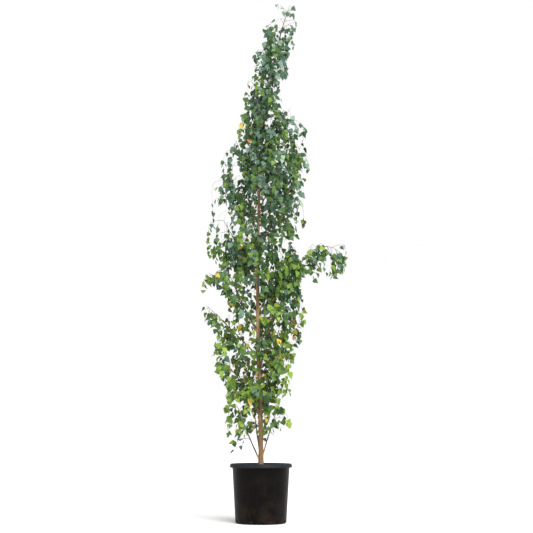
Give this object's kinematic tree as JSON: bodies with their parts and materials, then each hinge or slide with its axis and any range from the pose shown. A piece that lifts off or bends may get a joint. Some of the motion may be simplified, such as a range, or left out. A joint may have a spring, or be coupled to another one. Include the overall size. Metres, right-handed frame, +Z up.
{
  "type": "potted birch tree",
  "caption": "Young birch tree with a narrow leafy crown down to the soil, growing in a round black nursery pot that stands on its flat underside.",
  "frame": {"origin": "centre of the pot's flat underside, on the surface that the pot stands on", "axes": "+Z up along the trunk, +X to the right and +Y away from the viewer in the picture's view"},
  "size_m": [1.0166, 0.6977, 3.6788],
  "materials": {
    "pot_plastic": "satin black moulded plastic, scuffed on the rim",
    "potting_soil": "dark crumbly bark and peat mix",
    "trunk_bark": "tan to copper young birch bark with dark cross lines",
    "young_bark": "smooth dark purple-brown bark of young limbs",
    "foliage": "green leaves with yellow and rust ones among them"
  },
  "bodies": {
    "root": {"bough_crest_left": "young_bark", "bough_foot_back": "young_bark", "bough_foot_left": "young_bark", "bough_foot_right": "young_bark", "bough_long_right": "young_bark", "bough_low_front": "young_bark", "bough_low_left": "young_bark", "bough_low_right": "young_bark", "bough_middle_left": "young_bark", "bough_middle_right": "young_bark", "bough_shoulder_left": "young_bark", "bough_shoulder_right": "young_bark", "bough_spiral_01": "young_bark", "bough_spiral_02": "young_bark", "bough_spiral_03": "young_bark", "bough_spiral_04": "young_bark", "bough_spiral_05": "young_bark", "bough_spiral_06": "young_bark", "bough_spiral_07": "young_bark", "bough_spiral_08": "young_bark", "bough_spiral_09": "young_bark", "bough_spiral_10": "young_bark", "bough_spiral_11": "young_bark", "bough_upper_left": "young_bark", "foliage_crest_left": "foliage", "foliage_foot_back": "foliage", "foliage_foot_left": "foliage", "foliage_foot_right": "foliage", "foliage_leader": "foliage", "foliage_long_right": "foliage", "foliage_low_front": "foliage", "foliage_low_left": "foliage", "foliage_low_right": "foliage", "foliage_middle_left": "foliage", "foliage_middle_right": "foliage", "foliage_shoulder_left": "foliage", "foliage_shoulder_right": "foliage", "foliage_spiral_01": "foliage", "foliage_spiral_02": "foliage", "foliage_spiral_03": "foliage", "foliage_spiral_04": "foliage", "foliage_spiral_05": "foliage", "foliage_spiral_06": "foliage", "foliage_spiral_07": "foliage", "foliage_spiral_08": "foliage", "foliage_spiral_09": "foliage", "foliage_spiral_10": "foliage", "foliage_spiral_11": "foliage", "foliage_spiral_12": "foliage", "foliage_spiral_13": "foliage", "foliage_spiral_14": "foliage", "foliage_spiral_15": "foliage", "foliage_spiral_16": "foliage", "foliage_spiral_17": "foliage", "foliage_spiral_18": "foliage", "foliage_upper_left": "foliage", "pot": "pot_plastic", "soil": "potting_soil", "trunk": "trunk_bark"}
  },
  "joints": []
}
